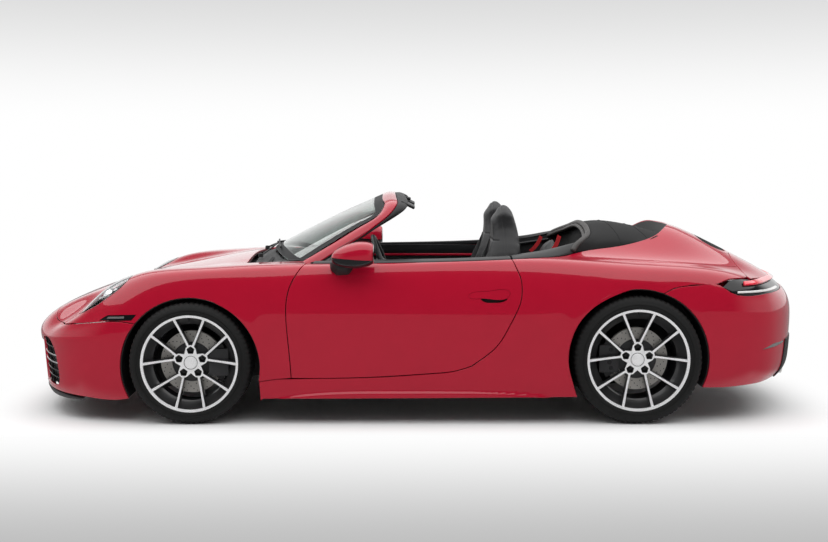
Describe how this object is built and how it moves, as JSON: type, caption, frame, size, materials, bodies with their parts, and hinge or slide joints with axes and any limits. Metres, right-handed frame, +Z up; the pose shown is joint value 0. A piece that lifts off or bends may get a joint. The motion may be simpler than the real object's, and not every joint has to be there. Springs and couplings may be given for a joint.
{
  "type": "two-seat-plus-two convertible car",
  "caption": "Low rear-engined convertible car, top folded, with opening doors, hood, engine lid and spoiler, steered front wheels and rolling wheels.",
  "frame": {"origin": "on the ground, half way between the bumpers, on the centre plane", "axes": "+Z up; the nose points along -X; the car's left side is -Y"},
  "size_m": [4.542, 2.0242, 1.2579],
  "materials": {
    "red_paint": "gloss clearcoat",
    "tyre_rubber": "matte",
    "wheel_alloy": "machined, clear lacquer",
    "disc_iron": "ground",
    "cast_parts": "painted black",
    "inner_body": "matte black",
    "black_plastic": "fine grain",
    "black_gloss": "gloss",
    "screen_glass": "clear, faint green tint",
    "lamp_clear": "clear",
    "lamp_red": "gloss",
    "top_fabric": "woven",
    "exhaust_steel": "polished",
    "cabin_leather": "fine grain"
  },
  "bodies": {
    "body": {"body_tub": "inner_body", "centre_console": "cabin_leather", "cowl_panel": "red_paint", "dashboard": "cabin_leather", "deck_frame": "inner_body", "driver_seat": "cabin_leather", "engine_block": "cast_parts", "exhaust_tips": "exhaust_steel", "folded_soft_top": "top_fabric", "front_bumper": "red_paint", "front_fenders": "red_paint", "front_grilles": "black_plastic", "front_splitter": "black_plastic", "front_suspension": "cast_parts", "front_trunk_tub": "inner_body", "headlights": "lamp_clear", "interior_mirror": "black_plastic", "passenger_seat": "cabin_leather", "rear_bumper": "red_paint", "rear_lights": "lamp_red", "rear_quarters": "red_paint", "rear_seats": "cabin_leather", "rear_suspension": "cast_parts", "side_skirts": "red_paint", "soft_top_lid": "red_paint", "steering_column": "black_plastic", "wheel_housings": "inner_body", "windscreen": "screen_glass", "windscreen_frame": "black_gloss"},
    "hood": {"hood": "red_paint"},
    "door_left": {"door_left": "red_paint", "door_mirror_left": "red_paint"},
    "door_right": {"door_right": "red_paint", "door_mirror_right": "red_paint"},
    "rear_lid": {"rear_lid": "red_paint"},
    "rear_spoiler": {"rear_spoiler": "red_paint"},
    "steering_wheel": {"steering_wheel": "cabin_leather"},
    "knuckle_left": {"knuckle_front_left": "cast_parts"},
    "knuckle_right": {"knuckle_front_right": "cast_parts"},
    "wheel_front_left": {"tyre_front_left": "tyre_rubber", "rim_front_left": "wheel_alloy", "brake_disc_front_left": "disc_iron"},
    "wheel_front_right": {"tyre_front_right": "tyre_rubber", "rim_front_right": "wheel_alloy", "brake_disc_front_right": "disc_iron"},
    "wheel_rear_left": {"tyre_rear_left": "tyre_rubber", "rim_rear_left": "wheel_alloy", "brake_disc_rear_left": "disc_iron"},
    "wheel_rear_right": {"tyre_rear_right": "tyre_rubber", "rim_rear_right": "wheel_alloy", "brake_disc_rear_right": "disc_iron"}
  },
  "joints": [
    {"name": "steer_left", "type": "hinge", "parent": "body", "child": "knuckle_left", "pos_m": [-1.241, -0.74, 0.336], "axis": [0, 0, 1], "range_deg": [-33, 33]},
    {"name": "roll_front_left", "type": "hinge", "parent": "knuckle_left", "child": "wheel_front_left", "pos_m": [-1.241, -0.797, 0.336], "axis": [0, 1, 0], "continuous": true},
    {"name": "roll_rear_left", "type": "hinge", "parent": "body", "child": "wheel_rear_left", "pos_m": [1.209, -0.763, 0.354], "axis": [0, 1, 0], "continuous": true},
    {"name": "door_left_swing", "type": "hinge", "parent": "body", "child": "door_left", "pos_m": [-0.6218, -0.85673, 0.40256], "axis": [0, 0, -1], "range_deg": [0, 68]},
    {"name": "steer_right", "type": "hinge", "parent": "body", "child": "knuckle_right", "pos_m": [-1.241, 0.74, 0.336], "axis": [0, 0, 1], "range_deg": [-33, 33]},
    {"name": "roll_front_right", "type": "hinge", "parent": "knuckle_right", "child": "wheel_front_right", "pos_m": [-1.241, 0.797, 0.336], "axis": [0, 1, 0], "continuous": true},
    {"name": "roll_rear_right", "type": "hinge", "parent": "body", "child": "wheel_rear_right", "pos_m": [1.209, 0.763, 0.354], "axis": [0, 1, 0], "continuous": true},
    {"name": "door_right_swing", "type": "hinge", "parent": "body", "child": "door_right", "pos_m": [-0.6218, 0.85673, 0.40256], "axis": [0, 0, 1], "range_deg": [0, 68]},
    {"name": "steering_wheel_turn", "type": "hinge", "parent": "body", "child": "steering_wheel", "pos_m": [-0.1875, -0.37, 0.83028], "axis": [0.927, 0, 0.375], "range_deg": [-500, 500]},
    {"name": "hood_lift", "type": "hinge", "parent": "body", "child": "hood", "pos_m": [-0.97325, 0, 0.85912], "axis": [0, 1, 0], "range_deg": [0, 58]},
    {"name": "rear_lid_lift", "type": "hinge", "parent": "body", "child": "rear_lid", "pos_m": [1.57346, 0, 0.96064], "axis": [0, -1, 0], "range_deg": [0, 60]},
    {"name": "spoiler_rise", "type": "slide", "parent": "body", "child": "rear_spoiler", "axis": [0.4472, 0, 0.8944], "range_m": [0, 0.06]}
  ],
  "couplings": [
    {"joint": "steer_right", "follows": "steer_left", "ratio": 1},
    {"joint": "steering_wheel_turn", "follows": "steer_left", "ratio": 15}
  ]
}
